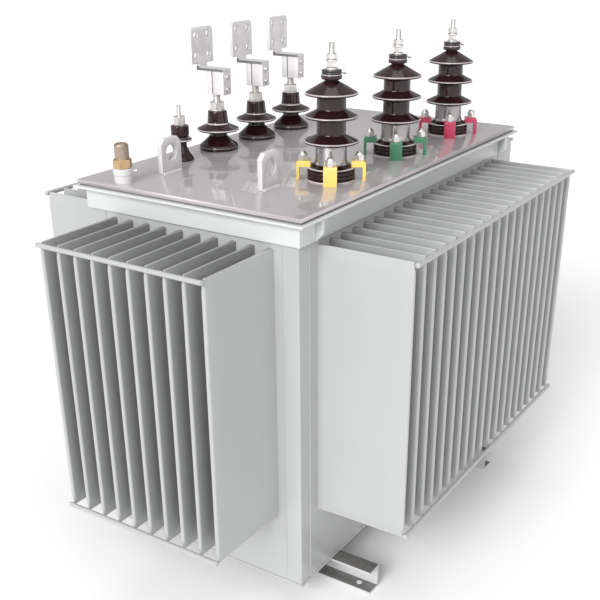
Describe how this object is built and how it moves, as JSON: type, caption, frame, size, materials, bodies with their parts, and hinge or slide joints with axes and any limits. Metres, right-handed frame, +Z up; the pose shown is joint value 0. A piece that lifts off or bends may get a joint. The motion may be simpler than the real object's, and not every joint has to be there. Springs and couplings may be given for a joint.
{
  "type": "oil-filled distribution transformer",
  "caption": "Oil-filled distribution transformer: corrugated cooling-fin tank on channel skids, with porcelain high- and low-voltage bushings, lifting lugs and a filler valve on the cover.",
  "frame": {"origin": "centre of the overall footprint on the underside of the skids", "axes": "+Z up; X along the tank's long side; the high-voltage bushings stand towards -Y, the low-voltage bushings towards +Y"},
  "size_m": [1.444, 0.978, 1.196],
  "materials": {
    "tank_paint": "satin",
    "cover_paint": "gloss",
    "lug_paint": "satin",
    "gasket_rubber": "matte",
    "brown_porcelain": "gloss",
    "yellow_paint": "gloss",
    "green_paint": "gloss",
    "red_paint": "gloss",
    "plated_steel": "satin",
    "cap_enamel": "gloss",
    "tinned_metal": "satin",
    "brass_knurled": "satin",
    "pale_plastic": "satin",
    "brass": "satin"
  },
  "bodies": {
    "root": {"clamp_nuts": "plated_steel", "cover": "cover_paint", "filler_base": "lug_paint", "filler_cap": "brass_knurled", "filler_lever": "pale_plastic", "filler_nut": "brass", "filler_screw": "plated_steel", "fins_back": "tank_paint", "fins_front": "tank_paint", "fins_left": "tank_paint", "fins_right": "tank_paint", "hv_bushing_1": "brown_porcelain", "hv_bushing_2": "brown_porcelain", "hv_bushing_3": "brown_porcelain", "hv_caps": "cap_enamel", "hv_clamps_1": "yellow_paint", "hv_clamps_2": "green_paint", "hv_clamps_3": "red_paint", "hv_terminals": "plated_steel", "hv_vent_screws": "plated_steel", "lifting_lugs": "lug_paint", "lv_blocks": "tinned_metal", "lv_bushing_1": "brown_porcelain", "lv_bushing_2": "brown_porcelain", "lv_bushing_3": "brown_porcelain", "lv_palm_1": "tinned_metal", "lv_palm_2": "tinned_metal", "lv_palm_3": "tinned_metal", "lv_studs": "plated_steel", "neutral_bushing": "brown_porcelain", "neutral_terminal": "plated_steel", "rim_band": "tank_paint", "rim_flange": "tank_paint", "rim_gasket": "gasket_rubber", "rim_gussets": "tank_paint", "rods_back": "tank_paint", "rods_front": "tank_paint", "rods_left": "tank_paint", "rods_right": "tank_paint", "skid_left": "tank_paint", "skid_right": "tank_paint", "tank_floor": "tank_paint", "tank_walls": "tank_paint"}
  },
  "joints": []
}
